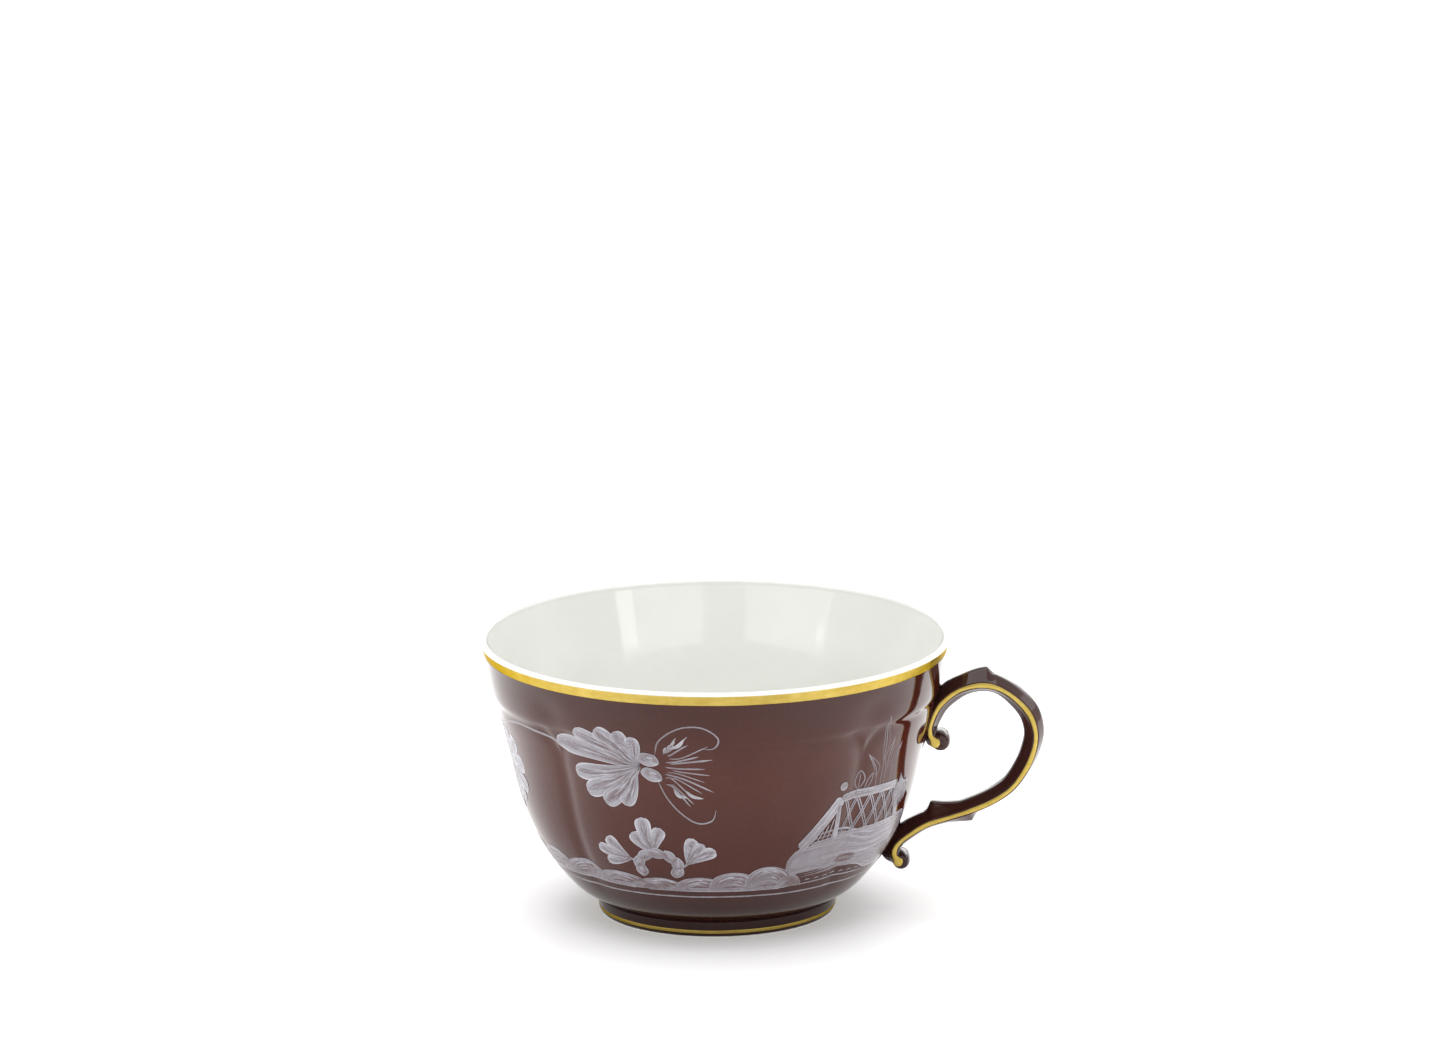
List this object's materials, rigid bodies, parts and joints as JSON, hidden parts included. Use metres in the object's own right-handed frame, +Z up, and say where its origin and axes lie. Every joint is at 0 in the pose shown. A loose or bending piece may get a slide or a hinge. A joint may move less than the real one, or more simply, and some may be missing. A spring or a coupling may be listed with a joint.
{
  "type": "teacup",
  "caption": "Footed porcelain teacup with a moulded collar, scrolled handle, white inside, dark glossy ground, gold lines and pale hand-painted decoration.",
  "frame": {"origin": "centre of the foot ring's resting face, on the cup's own axis", "axes": "+Z up along the cup's axis, +X from the axis towards the handle, +Y towards the back with the handle on the right"},
  "size_m": [0.1164, 0.097, 0.0581],
  "materials": {
    "bare_porcelain": "fired, unglazed, fine and slightly rough",
    "white_glaze": "glossy clear glaze on white porcelain",
    "ground_enamel": "glossy chocolate-maroon ground",
    "gold": "burnished gold, satin to bright, laid with a brush",
    "pale_paint": "fired lilac-white enamel, brushed, slightly translucent at the edges"
  },
  "bodies": {
    "root": {"bowl_wall": "bare_porcelain", "foot_ring": "bare_porcelain", "handle": "ground_enamel", "upper_slip_joint": "ground_enamel", "lower_slip_joint": "ground_enamel", "foot_slip_joint": "bare_porcelain", "inner_glaze": "white_glaze", "base_glaze": "white_glaze", "bowl_ground": "ground_enamel", "foot_ground": "ground_enamel", "rim_gold_band": "gold", "foot_gold_line": "gold", "handle_gold_front": "gold", "handle_gold_back": "gold", "painted_ring_line": "pale_paint", "painted_scallop_band": "pale_paint"}
  },
  "joints": []
}
